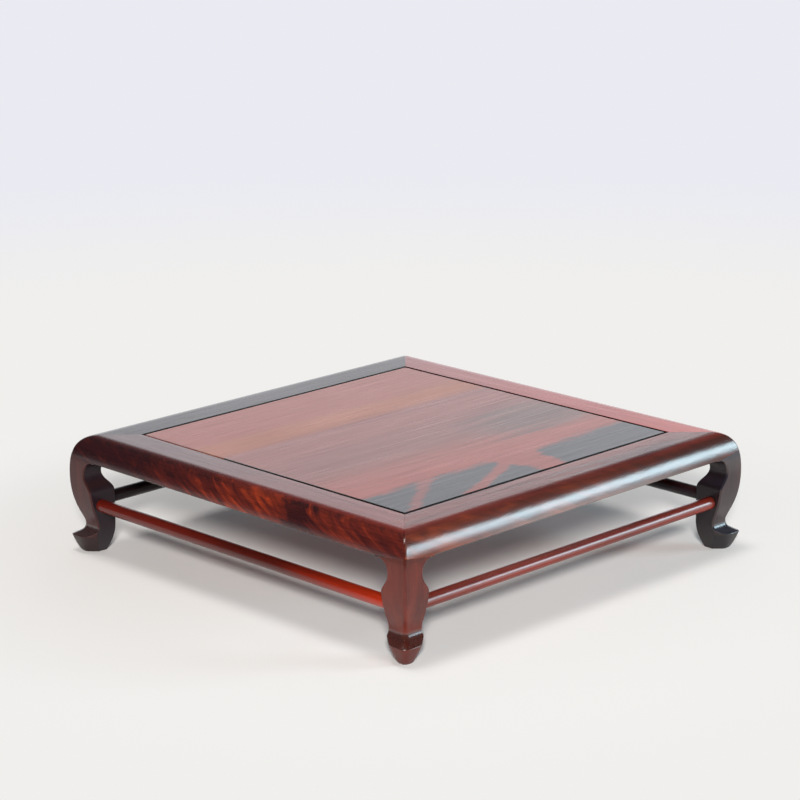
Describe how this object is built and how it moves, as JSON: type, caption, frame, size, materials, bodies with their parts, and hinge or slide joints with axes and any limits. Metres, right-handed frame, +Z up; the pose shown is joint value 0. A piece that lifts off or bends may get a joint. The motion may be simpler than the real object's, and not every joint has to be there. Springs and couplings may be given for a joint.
{
  "type": "hardwood display stand",
  "caption": "Low square hardwood display stand: mitred frame with rounded edge, flush floating panel, S-curved legs with out-turned toes and round stretchers.",
  "frame": {"origin": "on the ground under the middle of the stand", "axes": "+Z up; +X and +Y square to the sides, with the panel's grain along Y and its narrow board on the -X side"},
  "size_m": [0.2, 0.2, 0.0506],
  "materials": {
    "rail_brown": "waxed satin",
    "rail_dark": "waxed satin",
    "rail_figured": "waxed satin",
    "rail_red": "waxed satin",
    "panel_wide": "waxed satin",
    "panel_narrow": "waxed satin",
    "batten": "waxed satin",
    "leg": "waxed satin",
    "stretcher": "waxed satin",
    "stretcher_dark": "waxed satin"
  },
  "bodies": {
    "root": {"rail_front_right": "rail_brown", "rail_back_left": "rail_dark", "rail_front_left": "rail_figured", "rail_back_right": "rail_red", "panel_board_wide": "panel_wide", "panel_board_narrow": "panel_narrow", "batten_front": "batten", "batten_back": "batten", "leg_front": "leg", "leg_right": "leg", "leg_back": "leg", "leg_left": "leg", "stretcher_front_right": "stretcher", "stretcher_back_left": "stretcher_dark", "stretcher_front_left": "stretcher", "stretcher_back_right": "stretcher_dark"}
  },
  "joints": []
}
